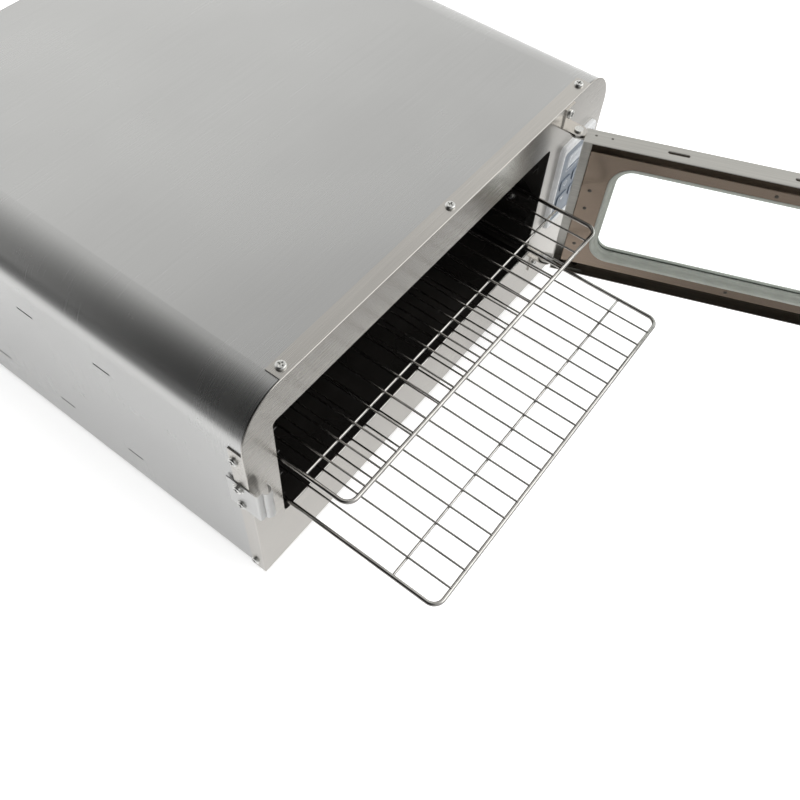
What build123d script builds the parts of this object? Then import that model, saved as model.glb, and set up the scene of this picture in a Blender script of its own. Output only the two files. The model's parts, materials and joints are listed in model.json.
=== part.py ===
from build123d import *
import os
from math import cos, hypot, radians

# Horizontal-airflow food dehydrator: a sheet-steel cabinet with a swing door on the right of its
# opening, two pull-out wire racks and a fan-and-heater unit behind the drying chamber.
# Modelled from the lower left front corner of the cabinet (X right, Y back, Z up, millimetres),
# then placed so that the origin is the centre of the footprint on the surface it stands on.

# ---- cabinet ----
body_w = 530.0
body_d = 500.0
body_h = 254.0
edge_r = 47.0
casing_t = 1.0
fascia_t = 1.2
flange_w = 15.5
fit_gap = 0.05
casing_front = 2.4
fascia_bend_r = 0.9
side_lip_h = 20.0

# ---- opening and drying chamber ----
opening_x = 33.0
opening_w = 391.7
opening_z = 72.7
opening_h = 141.6
opening_r = 5.0
liner_t = 1.0
liner_inset = 0.5
liner_gap = 0.3
liner_lip = 7.0
chamber_d = 430.0

# ---- casing slots ----
slot_l = 20.0
slot_w = 2.2
slot_first_y = 159.0
slot_pitch = 93.0
slot_count = 3
slot_rows_z = (43.0, 178.0)

# ---- screws ----
screw_r = 2.0
screw_head_r = 4.6
screw_head_h = 2.4
screw_l = 9.0
screw_play = 0.15
recess_l = 5.2
recess_w = 1.3
recess_h = 1.5
top_screw_y = 8.4
top_screw_inset = 56.0
side_screw_y = 11.0
side_screws_z = (13.0, 192.0)

# ---- racks and rails ----
rack_play = 2.5
rack_d = 310.0
rack_corner_r = 10.0
frame_wire_r = 2.0
thin_wire_r = 1.0
bar_wire_r = 1.2
thin_wire_rise = 1.5
wire_pitch = 20.0
bar_setback = 45.0
rail_w = 10.0
rail_leg = 9.0
rail_t = 1.2
rail_play = 0.3
rail_front = 8.0
rail_rear_gap = 6.0
level_pitch = 35.25
level_count = 4
first_level = 13.0
lower_rack_level = 0
upper_rack_level = 2
lower_rack_out = 159.5
upper_rack_out = 70.0

# ---- door, described closed, and opened to its rest angle at the end ----
hinge_x = 446.0
hinge_y = -13.9
door_open_deg = 111.6
door_edge_gap = 7.0
door_face_gap = 1.9
door_l = 423.0
door_h = 171.0
door_z = 58.0
door_t = 20.6
door_skin_t = 1.0
pan_t = 0.8
pan_recess = 4.0
pan_side_gap = 9.0
pan_end_gap = 12.0
window_side = 34.2
window_end = 24.5
window_r = 22.0
gasket_w = 6.5
gasket_step_w = 3.2
gasket_lip_w = 3.6
gasket_lip_t = 0.7
gasket_play = 0.2
gasket_step = 4.0
glass_depth = 13.0
glass_t = 4.0
glass_lap = 4.5
door_slot_l = 20.5
door_slot_w = 4.2
door_slot_first = 87.7
door_slot_pitch = 116.0
door_slot_count = 3
rivet_r = 1.3
rivet_h = 0.6
rivet_side = 18.3
rivet_end = 18.5
rivet_mid = 184.0
rivet_rows = (-0.27, 0.022, 0.156)

# ---- door handle ----
handle_from_free_edge = 16.0
handle_end = 26.5
handle_reach = 34.0
handle_r = 5.0
handle_bend_r = 12.0

# ---- hinge ----
hinge_pin_r = 2.5
hinge_play = 0.06
hinge_leaf_t = 1.5
hinge_ear_r = 7.0
hinge_tab_l = 34.0
hinge_gap = 0.4
hinge_plate_w = 16.0
hinge_plate_h = 22.0
hinge_screw_rise = 14.0
pin_head_r = 4.2
pin_head_h = 1.6
pin_end = 1.5

# ---- spring latch ----
latch_t = 0.8
latch_w = 40.0
latch_z = 117.0
latch_leg = 24.0
latch_reach = 8.6
latch_bump_r = 4.4
latch_flat = 5.2
latch_bend_r = 2.4
latch_screws_z = (124.0, 151.0)
washer_r = 5.6
washer_t = 0.8

# ---- control panel ----
panel_x = 449.0
panel_w = 64.0
panel_z = 91.0
panel_h = 108.5
panel_t = 5.0
panel_r = 6.0
overlay_side = 4.5
overlay_end = 8.0
overlay_t = 0.6
overlay_drop = 0.6
display_w = 30.0
display_h = 18.0
display_from_top = 11.0
key_row_drop = 54.0
key_w = 18.0
key_h = 13.0
key_pitch_x = 24.0
key_pitch_z = 21.0
key_travel = 0.6
key_play = 0.35
key_proud = 0.5
key_r = 2.5
stem_r = 2.0
switch_h = 3.5
board_y = 9.0
board_t = 1.6
board_margin = 6.0
post_r = 3.0
post_setback = 2.0

# ---- fan, heater and rear ----
fan_r = 56.0
fan_hub_r = 14.0
fan_blades = 9
fan_plate_t = 1.0
fan_blade_h = 16.0
fan_blade_t = 1.0
fan_y = 446.0
shaft_r = 3.0
shaft_play = 0.06
motor_r = 33.0
motor_l = 24.0
bridge_half = 84.0
bridge_w = 44.0
bridge_h = 37.0
bridge_t = 1.5
heater_r = 70.0
heater_tube_r = 3.2
heater_gap = 5.0
baffle_slot_w = 6.0
baffle_slot_l = 52.0
baffle_slot_pitch = 15.0
rear_t = 1.2
rear_lip = 14.0
vent_r = 3.0
vent_pitch = 10.0
vent_rows = 7
vent_field_r = 62.0
inlet_w = 27.5
inlet_h = 20.0
inlet_flange_t = 2.5

# ---- feet ----
foot_h = 14.0
foot_r = 13.0
foot_taper = 2.0
foot_inset = 40.0
foot_bore_r = 5.0
foot_bore_h = 7.0
foot_screw_l = 14.0

# ---- derived places ----
hinge_z0 = door_z
hinge_z1 = door_z + door_h
chamber_x0 = opening_x + liner_inset
chamber_x1 = opening_x + opening_w - liner_inset
chamber_z0 = opening_z + liner_inset
chamber_z1 = opening_z + opening_h - liner_inset
liner_y0 = fascia_t + liner_gap
fan_x = (chamber_x0 + chamber_x1) / 2
fan_z = (chamber_z0 + chamber_z1) / 2
door_x1 = hinge_x - door_edge_gap
door_x0 = door_x1 - door_l
rim_y = -door_face_gap
casing_off = fascia_t + fit_gap
latch_face_x = -latch_t - fit_gap
tab_rivets_x = [door_x1 - hinge_tab_l * share for share in (0.3, 0.75)]
pan_rivets = [
    (x, door_z + door_h * (0.5 + row))
    for x in (door_x0 + rivet_side, door_x1 - rivet_side)
    for row in rivet_rows
]
pan_rivets += [(door_x1 - rivet_mid, z) for z in (door_z + rivet_end, door_z + door_h - rivet_end)]
PLACE = Location((-body_w / 2, -body_d / 2, foot_h))

STANDING = (Align.CENTER, Align.CENTER, Align.MIN)

os.makedirs("parts", exist_ok=True)


def save(name, shape):
    """Write one node, each of its solids placed in the object's own frame."""
    placed = [PLACE * solid for solid in shape.solids()]
    export_step(placed[0] if len(placed) == 1 else Compound(placed), f"parts/{name}.step")


def box(x0, x1, y0, y1, z0, z1):
    """A block between two corners."""
    return Pos((x0 + x1) / 2, (y0 + y1) / 2, (z0 + z1) / 2) * Box(x1 - x0, y1 - y0, z1 - z0)


def plate_y(x0, x1, z0, z1, y0, y1, r=0.0):
    """A plate facing along Y with rounded corners."""
    sketch = RectangleRounded(x1 - x0, z1 - z0, r) if r else Rectangle(x1 - x0, z1 - z0)
    plane = Plane(((x0 + x1) / 2, y0, (z0 + z1) / 2), x_dir=(1, 0, 0), z_dir=(0, 1, 0))
    return extrude(plane * sketch, y1 - y0)


def rod(start, end, r):
    """A round bar between two points."""
    line = Vector(*end) - Vector(*start)
    return extrude(Plane(start, z_dir=line) * Circle(r), line.length)


def tunnel(inset, y0, y1, r):
    """The casing's outline, inset all round, from y0 to y1; its top corners are rounded."""
    width = body_w - 2 * inset
    height = body_h - 2 * inset
    block = box(inset, inset + width, y0, y1, inset, inset + height)
    corners = block.edges().filter_by(Axis.Y).group_by(Axis.Z)[-1]
    return fillet(corners, r)


def pan_screw(place, axis, length=screw_l):
    """A pan-head screw with a cross recess; axis points out of its head."""
    head = Cylinder(screw_head_r, screw_head_h, align=STANDING)
    head = fillet(head.edges().group_by(Axis.Z)[-1], screw_head_h * 0.7)
    cross = Box(recess_l, recess_w, recess_h) + Box(recess_w, recess_l, recess_h)
    head -= Pos(0, 0, screw_head_h - recess_h / 2) * cross
    shank = Cylinder(screw_r, length, align=(Align.CENTER, Align.CENTER, Align.MAX))
    return Plane(place, z_dir=axis) * (head + shank)


def hole(place, axis, r=screw_r + screw_play, length=30.0):
    """A cutter for a round hole through whatever lies at place."""
    return Plane(place, z_dir=axis) * Cylinder(r, length)


def group(solids):
    """Separate solids kept in one node."""
    return Compound([s for piece in solids for s in piece.solids()])


# ---------------------------------------------------------------- screw places
top_screws = [(x, top_screw_y, body_h) for x in (top_screw_inset, body_w / 2, body_w - top_screw_inset)]
side_screws = [(0.0, side_screw_y, z) for z in side_screws_z]
side_screws_right = [(body_w, side_screw_y, z) for z in side_screws_z]
latch_screws = [(0.0, side_screw_y, z) for z in latch_screws_z]
rear_screw_y = body_d - rear_t - rear_lip / 2
rear_top = [(x, rear_screw_y, body_h - casing_off) for x, _, _ in top_screws]
rear_left = [(casing_off, rear_screw_y, z) for z in side_screws_z]
rear_right = [(body_w - casing_off, rear_screw_y, z) for z in side_screws_z]
foot_places = [(x, y) for x in (foot_inset, body_w - foot_inset) for y in (foot_inset, body_d - foot_inset)]

UP, DOWN = (0, 0, 1), (0, 0, -1)
LEFT, RIGHT = (-1, 0, 0), (1, 0, 0)
FRONT, BACK = (0, -1, 0), (0, 1, 0)


def screw_holes(places, axis, r=screw_r + screw_play):
    """Holes for a row of like screws."""
    return [hole(p, axis, r) for p in places]


# ---------------------------------------------------------------- casing
def outer_casing():
    """The wrap-over sheet: left side, rounded top edges, top and right side."""
    rear = body_d - rear_t - fit_gap
    outer = tunnel(casing_off, casing_front, rear, edge_r - casing_off)
    inner = tunnel(casing_off + casing_t, casing_front, rear, edge_r - casing_off - casing_t)
    floor = box(0, body_w, 0, body_d, 0, casing_off + casing_t)
    sheet = outer - inner - floor
    cutters = []
    for z in slot_rows_z:
        for n in range(slot_count):
            y = slot_first_y + n * slot_pitch
            sketch = Plane((-1, y, z), x_dir=(0, 1, 0), z_dir=(1, 0, 0)) * SlotOverall(slot_l, slot_w)
            cutters.append(extrude(sketch, body_w + 2))
    cutters += screw_holes(top_screws, UP)
    cutters += screw_holes(side_screws + latch_screws, LEFT) + screw_holes(side_screws_right, RIGHT)
    cutters += screw_holes(rear_top, UP) + screw_holes(rear_left, LEFT) + screw_holes(rear_right, RIGHT)
    return sheet - cutters


def base_pan():
    """The bottom tray, with its sides turned up inside the casing."""
    side = casing_off + casing_t + fit_gap
    low = fascia_t + fit_gap
    front = fascia_t + liner_gap
    rear = body_d - rear_t - rear_lip - fit_gap
    tray = box(side, body_w - side, front, rear, low, low + casing_t)
    for x in (side, body_w - side - casing_t):
        tray += box(x, x + casing_t, front + flange_w, rear, low, low + side_lip_h)
    tray -= screw_holes(side_screws + latch_screws, LEFT) + screw_holes(side_screws_right, RIGHT)
    return tray - [hole((x, y, low), UP) for x, y in foot_places]


def opening_cutter(inset=0.0, y0=-5.0, y1=5.0):
    """The opening's outline as a cutter."""
    x1, z1 = opening_x + opening_w, opening_z + opening_h
    return plate_y(opening_x + inset, x1 - inset, opening_z + inset, z1 - inset, y0, y1, opening_r)


def front_fascia():
    """The front plate, with flanges folded back over the casing except round its top corners."""
    shell = tunnel(0, 0, flange_w, edge_r)
    shell = fillet(shell.edges().group_by(Axis.Y)[0], fascia_bend_r)
    shell -= tunnel(fascia_t, fascia_t, flange_w + 1, edge_r - fascia_t)
    for x in (-1, body_w - edge_r):
        shell -= box(x, x + edge_r + 1, fascia_t, flange_w + 1, body_h - edge_r, body_h + 1)
    cutters = [opening_cutter()]
    cutters.append(plate_y(key_zone[0], key_zone[1], key_zone[2], key_zone[3], -1, fascia_t + 1, panel_r))
    cutters += screw_holes(top_screws, UP)
    cutters += screw_holes(side_screws + latch_screws, LEFT) + screw_holes(side_screws_right, RIGHT)
    cutters += screw_holes(hinge_screws, FRONT)
    return shell - cutters


def rear_cover():
    """The back plate: a lip inside the casing, a vent field and the mains inlet's hole."""
    side = casing_off + casing_t + fit_gap
    plate = tunnel(casing_off, body_d - rear_t, body_d, edge_r - casing_off)
    outer = tunnel(side, body_d - rear_t - rear_lip, body_d - rear_t, edge_r - side)
    lip = outer - tunnel(side + rear_t, body_d - rear_lip - 3, body_d, edge_r - side - rear_t)
    cover = plate + lip
    vents = Sketch()
    for row in range(-vent_rows, vent_rows + 1):
        for col in range(-vent_rows, vent_rows + 1):
            x = (col + (row % 2) / 2) * vent_pitch
            z = row * vent_pitch * cos(radians(30))
            if hypot(x, z) <= vent_field_r:
                vents += Pos(x, z) * Circle(vent_r)
    field = Plane((fan_x, body_d - 2 * rear_t, fan_z), x_dir=(1, 0, 0), z_dir=(0, 1, 0))
    cover -= extrude(field * vents, 3 * rear_t)
    cover -= plate_y(*inlet_box, body_d - 3, body_d + 1)
    cover -= screw_holes(inlet_screws, BACK)
    cover -= screw_holes(rear_top, UP) + screw_holes(rear_left, LEFT) + screw_holes(rear_right, RIGHT)
    return cover


# ---------------------------------------------------------------- chamber
def chamber_plates():
    """The four sheets that line the chamber, each with a lip turned out behind the fascia."""
    y1 = chamber_d
    x0, x1, z0, z1 = chamber_x0, chamber_x1, chamber_z0, chamber_z1
    t, lip = liner_t, liner_lip
    floor = box(x0, x1, liner_y0, y1, z0 - t, z0) + box(x0, x1, liner_y0, liner_y0 + t, z0 - lip, z0)
    roof = box(x0, x1, liner_y0, y1, z1, z1 + t) + box(x0, x1, liner_y0, liner_y0 + t, z1, z1 + lip)
    left = box(x0 - t, x0, liner_y0, y1, z0 - lip, z1 + lip)
    left += box(x0 - lip, x0, liner_y0, liner_y0 + t, z0 - lip, z1 + lip)
    right = box(x1, x1 + t, liner_y0, y1, z0 - lip, z1 + lip)
    right += box(x1, x1 + lip, liner_y0, liner_y0 + t, z0 - lip, z1 + lip)
    right -= hole(probe_place, LEFT, probe_r + screw_play)
    return floor, roof, left, right


def rear_baffle():
    """The perforated sheet between the racks and the fan."""
    plate = box(
        chamber_x0 - liner_lip, chamber_x1 + liner_lip, chamber_d, chamber_d + liner_t,
        chamber_z0 - liner_lip, chamber_z1 + liner_lip,
    )
    columns = int((chamber_x1 - chamber_x0 - 30) / baffle_slot_pitch)
    sketch = Sketch()
    for n in range(columns):
        x = fan_x + (n - (columns - 1) / 2) * baffle_slot_pitch
        for z in (chamber_z0 + 35, chamber_z1 - 35):
            sketch += Pos(x, z) * SlotOverall(baffle_slot_l, baffle_slot_w, rotation=90)
    plane = Plane((0, chamber_d - 1, 0), x_dir=(1, 0, 0), z_dir=(0, -1, 0))
    plate -= extrude(plane * sketch, -liner_t - 2)
    plate -= screw_holes(bridge_screws, FRONT, screw_r + screw_play)
    return plate


def level_z(level):
    """Height of a rack's frame wire at a level."""
    return opening_z + first_level + level * level_pitch


def rack_rails(wall_x, inward):
    """Four angle rails on one wall; each carries a rack by its frame wire."""
    solids = []
    for level in range(level_count):
        top = level_z(level) - frame_wire_r - rail_play
        y0, y1 = rail_front, chamber_d - rail_rear_gap
        ends = sorted((wall_x, wall_x + inward * rail_w))
        leg = sorted((wall_x, wall_x + inward * rail_t))
        rail = box(*ends, y0, y1, top - rail_t, top) + box(*leg, y0, y1, top - rail_leg, top)
        solids.append(rail)
    return group(solids)


# ---------------------------------------------------------------- racks
def rack_parts(level, pulled_out):
    """A rack's frame wire, its depth wires and its cross bars, at its rest place."""
    x0 = chamber_x0 + rack_play + frame_wire_r
    x1 = chamber_x1 - rack_play - frame_wire_r
    y0 = -pulled_out + frame_wire_r
    y1 = y0 + rack_d - 2 * frame_wire_r
    z = level_z(level)
    loop = Pos((x0 + x1) / 2, (y0 + y1) / 2, z) * RectangleRounded(x1 - x0, y1 - y0, rack_corner_r)
    path = loop.face().outer_wire()
    start = path @ 0
    section = Plane(start, z_dir=path % 0) * Circle(frame_wire_r)
    frame = sweep(section, path)
    wires = int((x1 - x0) / wire_pitch - 0.1)
    first = (x0 + x1) / 2 - (wires - 1) / 2 * wire_pitch
    wire_z = z + thin_wire_rise
    depth = [
        rod((first + n * wire_pitch, y0, wire_z), (first + n * wire_pitch, y1, wire_z), thin_wire_r) - frame
        for n in range(wires)
    ]
    bars = []
    bar_z = wire_z - thin_wire_r - bar_wire_r
    for y in (y0 + bar_setback, (y0 + y1) / 2, y1 - bar_setback):
        bars.append(rod((x0, y, bar_z), (x1, y, bar_z), bar_wire_r) - frame)
    keep = box(x0, x1, y0, y1, z - 5, z + 5)
    depth = [(d & keep).solids().sort_by(SortBy.VOLUME)[-1] for d in depth]
    bars = [(b & keep).solids().sort_by(SortBy.VOLUME)[-1] for b in bars]
    return frame, group(depth), group(bars)


# ---------------------------------------------------------------- hinge and latch
plate_x0 = hinge_x - hinge_plate_w / 2
hinge_screws = [(hinge_x, 0, hinge_z1 + hinge_screw_rise), (hinge_x, 0, hinge_z0 - hinge_screw_rise)]


def hinge_bracket(sign, z_edge):
    """An angle bracket on the fascia whose ear carries the pin; sign is +1 above the door."""
    inner = z_edge + sign * hinge_gap
    outer = inner + sign * hinge_leaf_t
    z0, z1 = sorted((inner, outer))
    ear = box(plate_x0, plate_x0 + hinge_plate_w, hinge_y, -fit_gap, z0, z1)
    ear += Pos(hinge_x, hinge_y, (z0 + z1) / 2) * Cylinder(hinge_plate_w / 2, hinge_leaf_t)
    p0, p1 = sorted((inner, z_edge + sign * hinge_plate_h))
    ear += box(plate_x0, plate_x0 + hinge_plate_w, -hinge_leaf_t - fit_gap, -fit_gap, p0, p1)
    ear -= Pos(hinge_x, hinge_y, z_edge) * Cylinder(hinge_pin_r, 40)
    place = next(p for p in hinge_screws if (p[2] - z_edge) * sign > 0)
    return ear - hole(place, FRONT)


def hinge_pin(sign, z_edge):
    """A headed pin, pressed in the bracket's ear and running in the door's tab."""
    outer = z_edge + sign * (hinge_gap + hinge_leaf_t)
    tip = z_edge - sign * (door_skin_t + hinge_leaf_t + pin_end)
    z0, z1 = sorted((outer, tip))
    pin = Pos(hinge_x, hinge_y, (z0 + z1) / 2) * Cylinder(hinge_pin_r, z1 - z0)
    return pin + Pos(hinge_x, hinge_y, outer + sign * pin_head_h / 2) * Cylinder(pin_head_r, pin_head_h)


def hinge_tab(sign, z_edge):
    """The door's hinge plate: riveted inside the flange, with its eye out through the door's end."""
    z = z_edge - sign * (door_skin_t + hinge_leaf_t / 2)
    tab = Pos(hinge_x, hinge_y, z) * Cylinder(hinge_ear_r, hinge_leaf_t)
    tab += box(
        door_x1 - hinge_tab_l, hinge_x, hinge_y - hinge_ear_r, hinge_y + hinge_ear_r,
        z - hinge_leaf_t / 2, z + hinge_leaf_t / 2,
    )
    tab -= Pos(hinge_x, hinge_y, z) * Cylinder(hinge_pin_r + hinge_play, 10)
    return tab - [hole((x, hinge_y, z), UP, rivet_r) for x in tab_rivets_x]


def tab_rivets():
    """Rivets through each tab and the door's flange, flush outside and headed inside."""
    solids = []
    for sign, z_edge in ((1, hinge_z1), (-1, hinge_z0)):
        for x in tab_rivets_x:
            inside = z_edge - sign * (door_skin_t + hinge_leaf_t)
            stem = rod((x, hinge_y, inside), (x, hinge_y, z_edge), rivet_r)
            cap = Pos(x, hinge_y, inside - sign * rivet_h / 2) * Cylinder(rivet_r * 1.8, rivet_h)
            solids.append(stem + cap)
    return group(solids)


def latch_strap():
    """The spring strap: a leg screwed to the left side, a fold round the corner and a catch."""
    y_fold = -latch_reach
    x_mid = latch_face_x + latch_t / 2
    with BuildPart() as strap:
        with BuildSketch(Plane.XY.offset(latch_z)):
            with BuildLine():
                leg = FilletPolyline(
                    (x_mid, latch_leg),
                    (x_mid, y_fold),
                    (latch_flat, y_fold),
                    radius=latch_bend_r,
                )
                top = ThreePointArc(
                    leg @ 1,
                    (latch_flat + latch_bump_r, y_fold - latch_bump_r),
                    (latch_flat + 2 * latch_bump_r, y_fold),
                )
                Line(top @ 1, (latch_flat + 2 * latch_bump_r, y_fold + latch_bend_r))
            trace(line_width=latch_t)
        extrude(amount=latch_w)
    return strap.part - screw_holes(latch_screws, LEFT)


def latch_washer():
    """The plain washer under the strap's upper screw."""
    ring = Cylinder(washer_r, washer_t, align=STANDING) - Cylinder(screw_r + screw_play, 4 * washer_t)
    return Plane((latch_face_x, side_screw_y, latch_screws_z[1]), z_dir=LEFT) * ring


# ---------------------------------------------------------------- door (closed position)
def door_skin():
    """The outer tray: window hole, four flanges and slots in the top flange."""
    outer_y = rim_y - door_t
    skin = box(door_x0, door_x1, outer_y, rim_y, door_z, door_z + door_h)
    skin = fillet(skin.edges().group_by(Axis.Y)[0], door_skin_t * 0.9)
    skin -= box(
        door_x0 + door_skin_t, door_x1 - door_skin_t, outer_y + door_skin_t, rim_y + 1,
        door_z + door_skin_t, door_z + door_h - door_skin_t,
    )
    skin -= window_cutter(gasket_w, outer_y - 1, outer_y + 2)
    for n in range(door_slot_count):
        x = door_x1 - door_slot_first - n * door_slot_pitch
        below = Plane((x, rim_y - door_t / 2, hinge_z1 - 2 * door_skin_t))
        skin -= extrude(below * SlotOverall(door_slot_l, door_slot_w), 3 * door_skin_t)
    skin -= [hole((x, hinge_y, z), UP, rivet_r, 6) for x in tab_rivets_x for z in (hinge_z0, hinge_z1)]
    skin -= [hole(p, FRONT) for p in handle_places]
    for sign, z_edge in ((1, hinge_z1), (-1, hinge_z0)):
        flange_z = z_edge - sign * door_skin_t
        z0, z1 = sorted((flange_z, flange_z - sign * (hinge_leaf_t + hinge_gap)))
        skin -= box(
            door_x1 - 2 * door_skin_t, door_x1 + 1,
            hinge_y - hinge_ear_r - hinge_gap, hinge_y + hinge_ear_r + hinge_gap, z0, z1,
        )
    return skin


def window_cutter(inset, y0, y1):
    """The window's outline, inset all round, as a plate."""
    side, end, r = window_side + inset, window_end + inset, max(window_r - inset, 1.0)
    return plate_y(door_x0 + side, door_x1 - side, door_z + end, door_z + door_h - end, y0, y1, r)


def door_inner_pan():
    """The inner tray, set back from the rim, with the window hole."""
    face_y = rim_y - pan_recess
    back_y = rim_y - door_t + door_skin_t + fit_gap
    x0, x1 = door_x0 + pan_side_gap, door_x1 - pan_side_gap
    z0, z1 = door_z + pan_end_gap, door_z + door_h - pan_end_gap
    pan = box(x0, x1, back_y, face_y, z0, z1)
    pan = fillet(pan.edges().group_by(Axis.Y)[-1], pan_t)
    pan -= box(x0 + pan_t, x1 - pan_t, back_y - 1, face_y - pan_t, z0 + pan_t, z1 - pan_t)
    pan -= window_cutter(0, back_y - 1, face_y + 1)
    return pan - [hole((x, face_y, z), BACK, rivet_r, 6) for x, z in pan_rivets]


def door_gasket():
    """The moulded window gasket: a lip over the pan and two steps down to the glass."""
    face_y = rim_y - pan_recess
    glass_y = rim_y - glass_depth
    inner = window_cutter(gasket_w, glass_y - 1, face_y + 3)
    body = window_cutter(gasket_play, glass_y, face_y) - window_cutter(gasket_step_w, glass_y - 1, face_y + 1)
    step = window_cutter(gasket_step_w - 0.5, glass_y, face_y - gasket_step) - inner
    lip = window_cutter(-gasket_lip_w, face_y, face_y + gasket_lip_t)
    lip -= window_cutter(gasket_step_w - 1.2, face_y - 1, face_y + 2)
    return body + step + lip


def door_glass():
    """The window pane, lapping behind the gasket."""
    glass_y = rim_y - glass_depth
    return window_cutter(gasket_w - glass_lap, glass_y - glass_t, glass_y)


def glass_tape():
    """The flat seal between the pane and the outer skin."""
    y1 = rim_y - glass_depth - glass_t
    y0 = rim_y - door_t + door_skin_t
    return window_cutter(gasket_w - glass_lap + 0.5, y0, y1) - window_cutter(gasket_w, y0 - 1, y1 + 1)


def door_rivets():
    """Small flush rivets that hold the inner pan."""
    face_y = rim_y - pan_recess
    solids = []
    for x, z in pan_rivets:
        stem = rod((x, face_y - 4, z), (x, face_y, z), rivet_r)
        cap = Plane((x, face_y, z), z_dir=BACK) * Cone(
            rivet_r * 1.5, rivet_r * 0.9, rivet_h, align=STANDING
        )
        solids.append(stem + cap)
    return group(solids)


# ---------------------------------------------------------------- handle
handle_x = door_x0 + handle_from_free_edge
handle_face_y = rim_y - door_t
handle_z0 = door_z + handle_end
handle_z1 = door_z + door_h - handle_end
handle_places = [(handle_x, handle_face_y, handle_z0), (handle_x, handle_face_y, handle_z1)]


def door_handle():
    """A bent round bar with both ends against the door's face."""
    y_face = handle_face_y - fit_gap
    y_out = y_face - handle_reach
    path = FilletPolyline(
        (handle_x, y_face, handle_z0), (handle_x, y_out, handle_z0),
        (handle_x, y_out, handle_z1), (handle_x, y_face, handle_z1),
        radius=handle_bend_r,
    )
    bar = sweep(Plane(path @ 0, z_dir=path % 0) * Circle(handle_r), path)
    return bar - [hole(p, FRONT, screw_r, 2 * screw_l) for p in handle_places]


def handle_screws():
    """Screws from inside the door's skin into the handle's ends."""
    inside = handle_face_y + door_skin_t
    return group(pan_screw((x, inside, z), BACK, screw_l) for x, _, z in handle_places)


# ---------------------------------------------------------------- control panel
key_cx = panel_x + panel_w / 2
key_z_top = panel_z + panel_h - key_row_drop
key_places = {
    "power_key": (key_cx - key_pitch_x / 2, key_z_top),
    "timer_key": (key_cx + key_pitch_x / 2, key_z_top),
    "temp_down_key": (key_cx - key_pitch_x / 2, key_z_top - key_pitch_z),
    "temp_up_key": (key_cx + key_pitch_x / 2, key_z_top - key_pitch_z),
}
display_z1 = panel_z + panel_h - overlay_end - display_from_top
key_zone = (panel_x + 8.0, panel_x + panel_w - 8.0, panel_z + 12.0, panel_z + panel_h - 12.0)
board_posts = [
    (x, board_y, z)
    for x in (key_zone[0] - post_setback, key_zone[1] + post_setback)
    for z in (key_zone[2] - post_setback, key_zone[3] + post_setback)
]


def key_cutter(x, z, grow, y0, y1):
    """A key's outline, grown all round, as a plate."""
    half_w, half_h = key_w / 2 + grow, key_h / 2 + grow
    return plate_y(x - half_w, x + half_w, z - half_h, z + half_h, y0, y1, key_r + grow)


def display_cutter(grow, y0, y1):
    """The display's outline, grown all round, as a plate."""
    x0, x1 = key_cx - display_w / 2 - grow, key_cx + display_w / 2 + grow
    return plate_y(x0, x1, display_z1 - display_h - grow, display_z1 + grow, y0, y1, 1.5)


def control_bezel():
    """The moulded frame of the control panel: a sloped rim round a floor for the overlay."""
    x1, z1 = panel_x + panel_w, panel_z + panel_h
    rim = plate_y(panel_x, x1, panel_z, z1, -panel_t, -fit_gap, panel_r)
    rim = chamfer(rim.edges().group_by(Axis.Y)[0], 1.6)
    pocket_y = -panel_t + overlay_drop + overlay_t
    x0, x1 = panel_x + overlay_side, x1 - overlay_side
    rim -= plate_y(x0, x1, panel_z + overlay_end, z1 - overlay_end, -panel_t - 1, pocket_y, panel_r * 0.6)
    rim -= display_cutter(0.0, -panel_t - 1, 1)
    rim -= [key_cutter(x, z, key_play, -panel_t - 1, 1) for x, z in key_places.values()]
    return rim


def control_overlay():
    """The printed sheet in the bezel's pocket, with holes for the keys and the display."""
    y0 = -panel_t + overlay_drop
    x0, x1 = panel_x + overlay_side + 0.1, panel_x + panel_w - overlay_side - 0.1
    z0, z1 = panel_z + overlay_end + 0.1, panel_z + panel_h - overlay_end - 0.1
    sheet = plate_y(x0, x1, z0, z1, y0, y0 + overlay_t, panel_r * 0.6)
    sheet -= [key_cutter(x, z, key_play, y0 - 1, y0 + 2) for x, z in key_places.values()]
    return sheet - display_cutter(-0.5, y0 - 1, y0 + 2)


def display_window():
    """The clear window in the overlay's opening, in front of the display."""
    y0 = -panel_t + overlay_drop + overlay_t
    return display_cutter(-0.1, y0, y0 + 1.5)


def display_module():
    """The display block on the control board."""
    x0, x1 = key_cx - display_w / 2 + 1, key_cx + display_w / 2 - 1
    return box(x0, x1, -1.5, board_y, display_z1 - display_h + 1, display_z1 - 1)


def key(x, z):
    """A key cap with its flange and its stem, which ends just short of the switch."""
    front = -panel_t + overlay_drop - key_proud - key_travel
    cap = key_cutter(x, z, 0.0, front, 0.4)
    cap = fillet(cap.edges().group_by(Axis.Y)[0], 0.5)
    cap += key_cutter(x, z, 1.2, 0.1, 1.1)
    stem_end = board_y - switch_h - key_travel - 0.1
    return cap + rod((x, 1.0, z), (x, stem_end, z), stem_r)


def control_board():
    """The circuit board behind the panel, with a switch block under each key."""
    x0, x1, z0, z1 = key_zone
    edge = board_margin
    board = box(x0 - edge, x1 + edge, board_y, board_y + board_t, z0 - edge, z1 + edge)
    for x, z in key_places.values():
        board += box(x - 3, x + 3, board_y - switch_h, board_y, z - 3, z + 3)
    board += box(x0, x0 + 14, board_y + board_t, board_y + 8, z0, z0 + 9)
    board += box(x1 - 16, x1 - 4, board_y + board_t, board_y + 4, z0 + 20, z0 + 34)
    return board - [hole(p, FRONT) for p in board_posts]


def board_standoffs():
    """Four posts from the fascia to the board."""
    y0 = fascia_t + fit_gap
    return group(rod((x, y0, z), (x, y, z), post_r) for x, y, z in board_posts)


# ---------------------------------------------------------------- air probe
probe_r = 2.2
probe_place = (chamber_x1, 30.0, 140.5)


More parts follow.
